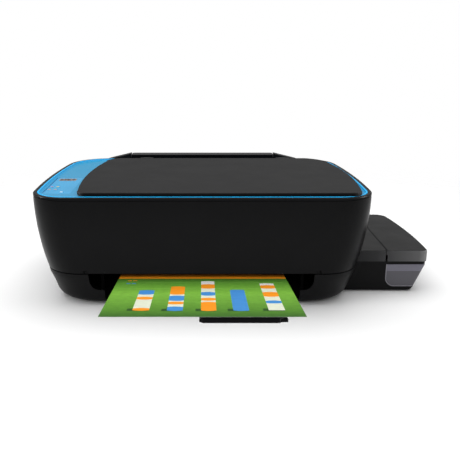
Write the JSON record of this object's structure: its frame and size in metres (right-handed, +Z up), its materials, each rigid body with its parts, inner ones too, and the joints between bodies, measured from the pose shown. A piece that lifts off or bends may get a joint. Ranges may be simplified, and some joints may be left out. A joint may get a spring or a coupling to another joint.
{
  "type": "inkjet printer",
  "caption": "Flatbed ink tank printer with a bowl-shaped body, hinged scanner lid, blue control panel, side ink tank unit and a pulled-out output tray holding a sheet.",
  "frame": {"origin": "bottom centre of the whole printer's bounding box, on the table under the feet", "axes": "+X towards the ink tank unit on the right, +Y towards the rear, +Z up"},
  "size_m": [0.5348, 0.4872, 0.1583],
  "materials": {
    "black_satin": "satin",
    "black_matte": "matte",
    "lid_grey": "fine texture",
    "black_gloss": "gloss",
    "blue_plastic": "satin",
    "blue_overlay": "satin",
    "button_plastic": "satin",
    "lcd": "gloss",
    "scan_glass": "clear",
    "white_foam": "matte",
    "grey_plastic": "satin",
    "steel": "satin",
    "rubber": "matte",
    "belt_rubber": "matte",
    "white_gear": "satin",
    "circuit_green": "satin",
    "paper": "coated",
    "tank_clear": "clear",
    "cap_rubber": "satin",
    "tube_clear": "clear"
  },
  "bodies": {
    "base": {"base_housing": "black_matte", "upper_shell": "black_satin", "rear_cover": "black_matte", "input_chute": "black_matte", "scanner_bezel": "blue_plastic", "control_overlay": "blue_overlay", "lcd_window": "lcd", "scanner_bed": "black_matte", "scanner_glass": "scan_glass", "scan_rail": "steel", "lid_hinges": "black_matte", "chassis": "steel", "carriage_rod": "steel", "carriage_belt": "belt_rubber", "motors": "steel", "pinch_holder": "black_matte", "platen": "black_matte", "service_station": "grey_plastic", "output_deck": "black_matte", "main_board": "circuit_green", "power_supply": "black_matte", "mains_inlet": "black_matte", "usb_socket": "steel", "tank_housing": "black_matte", "tank_window": "tank_clear", "tank_cover": "black_satin", "ink_tanks": "tank_clear", "ink_tubes": "tube_clear", "feet": "rubber", "base_screws": "steel"},
    "lid": {"scanner_lid": "lid_grey", "lid_pad": "white_foam"},
    "door": {"front_door": "black_satin"},
    "input_tray": {"input_tray": "black_gloss"},
    "width_guide": {"paper_width_guide": "grey_plastic"},
    "output_tray": {"output_tray": "black_satin"},
    "tray_extender": {"tray_extender": "black_gloss"},
    "sheet": {"printed_sheet": "paper"},
    "carriage": {"carriage": "grey_plastic", "printheads": "black_matte"},
    "latch": {"printhead_latch": "blue_overlay"},
    "scan_head": {"scan_head": "grey_plastic"},
    "motor_pulley": {"motor_pulley": "white_gear"},
    "idler_pulley": {"idler_pulley": "white_gear"},
    "feed_roller": {"feed_roller": "rubber"},
    "motor_pinion": {"motor_pinion": "white_gear"},
    "idler_gear": {"idler_gear": "white_gear"},
    "eject_roller": {"eject_roller": "rubber"},
    "pickup_roller": {"pickup_roller": "rubber"},
    "pinch_rollers": {"pinch_rollers": "rubber"},
    "tank_lid": {"tank_lid": "black_satin"},
    "power_button": {"power_button": "button_plastic"},
    "resume_button": {"resume_button": "button_plastic"},
    "cancel_button": {"cancel_button": "button_plastic"},
    "copy_color_button": {"copy_color_button": "button_plastic"},
    "copy_black_button": {"copy_black_button": "button_plastic"},
    "cap_black": {"cap_black": "cap_rubber"},
    "cap_cyan": {"cap_cyan": "cap_rubber"},
    "cap_magenta": {"cap_magenta": "cap_rubber"},
    "cap_yellow": {"cap_yellow": "cap_rubber"}
  },
  "joints": [
    {"name": "lid_hinge", "type": "hinge", "parent": "base", "child": "lid", "pos_m": [-0.0241, 0.2026, 0.154], "axis": [-1, 0, 0], "range_deg": [0, 80]},
    {"name": "door_hinge", "type": "hinge", "parent": "base", "child": "door", "pos_m": [-0.0461, -0.0525, 0.0512], "axis": [1, 0, 0], "range_deg": [0, 70]},
    {"name": "input_tray_slide", "type": "slide", "parent": "base", "child": "input_tray", "axis": [0, 0, 1], "range_m": [0, 0.075]},
    {"name": "width_guide_slide", "type": "slide", "parent": "base", "child": "width_guide", "axis": [1, 0, 0], "range_m": [0, 0.06]},
    {"name": "output_tray_slide", "type": "slide", "parent": "base", "child": "output_tray", "axis": [0, 0.9921, -0.1253], "range_m": [0, 0.112]},
    {"name": "extender_slide", "type": "slide", "parent": "output_tray", "child": "tray_extender", "axis": [0, 0.9921, -0.1253], "range_m": [0, 0.064]},
    {"name": "sheet_slide", "type": "slide", "parent": "base", "child": "sheet", "axis": [0, -0.9921, 0.1253], "range_m": [0, 0.15]},
    {"name": "carriage_slide", "type": "slide", "parent": "base", "child": "carriage", "axis": [-1, 0, 0], "range_m": [0, 0.27]},
    {"name": "latch_hinge", "type": "hinge", "parent": "carriage", "child": "latch", "pos_m": [0.0939, 0.0272, 0.079], "axis": [1, 0, 0], "range_deg": [0, 60]},
    {"name": "scan_head_slide", "type": "slide", "parent": "base", "child": "scan_head", "axis": [1, 0, 0], "range_m": [0, 0.25]},
    {"name": "motor_pulley_spin", "type": "hinge", "parent": "base", "child": "motor_pulley", "pos_m": [0.1199, 0.0976, 0.1], "axis": [0, 1, 0], "continuous": true},
    {"name": "idler_pulley_spin", "type": "hinge", "parent": "base", "child": "idler_pulley", "pos_m": [-0.2121, 0.0976, 0.1], "axis": [0, 1, 0], "continuous": true},
    {"name": "feed_roller_spin", "type": "hinge", "parent": "base", "child": "feed_roller", "pos_m": [-0.0461, 0.1186, 0.052], "axis": [1, 0, 0], "continuous": true},
    {"name": "motor_pinion_spin", "type": "hinge", "parent": "base", "child": "motor_pinion", "pos_m": [-0.2301, 0.1186, 0.082], "axis": [1, 0, 0], "continuous": true},
    {"name": "idler_gear_spin", "type": "hinge", "parent": "base", "child": "idler_gear", "pos_m": [-0.2301, 0.0691, 0.052], "axis": [1, 0, 0], "continuous": true},
    {"name": "eject_roller_spin", "type": "hinge", "parent": "base", "child": "eject_roller", "pos_m": [-0.0461, 0.0196, 0.052], "axis": [1, 0, 0], "continuous": true},
    {"name": "pickup_roller_spin", "type": "hinge", "parent": "base", "child": "pickup_roller", "pos_m": [-0.0461, 0.1686, 0.0898], "axis": [1, 0, 0], "continuous": true},
    {"name": "pinch_roller_spin", "type": "hinge", "parent": "base", "child": "pinch_rollers", "pos_m": [-0.0461, 0.1186, 0.0628], "axis": [1, 0, 0], "continuous": true},
    {"name": "tank_lid_hinge", "type": "hinge", "parent": "base", "child": "tank_lid", "pos_m": [0.2114, 0.1056, 0.0584], "axis": [0, -1, 0], "range_deg": [0, 95]},
    {"name": "power_button_press", "type": "slide", "parent": "base", "child": "power_button", "axis": [0, 0, -1], "range_m": [0, 0.0008], "stiffness_N_per_m": 400, "springref_m": -0.0006},
    {"name": "resume_button_press", "type": "slide", "parent": "base", "child": "resume_button", "axis": [0, 0, -1], "range_m": [0, 0.0008], "stiffness_N_per_m": 400, "springref_m": -0.0006},
    {"name": "cancel_button_press", "type": "slide", "parent": "base", "child": "cancel_button", "axis": [0, 0, -1], "range_m": [0, 0.0008], "stiffness_N_per_m": 400, "springref_m": -0.0006},
    {"name": "copy_color_button_press", "type": "slide", "parent": "base", "child": "copy_color_button", "axis": [0, 0, -1], "range_m": [0, 0.0008], "stiffness_N_per_m": 400, "springref_m": -0.0006},
    {"name": "copy_black_button_press", "type": "slide", "parent": "base", "child": "copy_black_button", "axis": [0, 0, -1], "range_m": [0, 0.0008], "stiffness_N_per_m": 400, "springref_m": -0.0006},
    {"name": "cap_black_turn", "type": "hinge", "parent": "base", "child": "cap_black", "pos_m": [0.2319, 0.0341, 0.05], "axis": [0, 0, 1], "range_deg": [0, 90]},
    {"name": "cap_cyan_turn", "type": "hinge", "parent": "base", "child": "cap_cyan", "pos_m": [0.2319, 0.0801, 0.05], "axis": [0, 0, 1], "range_deg": [0, 90]},
    {"name": "cap_magenta_turn", "type": "hinge", "parent": "base", "child": "cap_magenta", "pos_m": [0.2319, 0.1261, 0.05], "axis": [0, 0, 1], "range_deg": [0, 90]},
    {"name": "cap_yellow_turn", "type": "hinge", "parent": "base", "child": "cap_yellow", "pos_m": [0.2319, 0.1721, 0.05], "axis": [0, 0, 1], "range_deg": [0, 90]}
  ],
  "couplings": [
    {"joint": "motor_pulley_spin", "follows": "carriage_slide", "rad_per_m": -151.52},
    {"joint": "idler_pulley_spin", "follows": "carriage_slide", "rad_per_m": -151.52},
    {"joint": "motor_pinion_spin", "follows": "feed_roller_spin", "ratio": -2},
    {"joint": "idler_gear_spin", "follows": "feed_roller_spin", "ratio": -0.67797},
    {"joint": "eject_roller_spin", "follows": "feed_roller_spin", "ratio": 1},
    {"joint": "pickup_roller_spin", "follows": "feed_roller_spin", "ratio": -0.42857},
    {"joint": "pinch_roller_spin", "follows": "feed_roller_spin", "ratio": -1.3333}
  ]
}
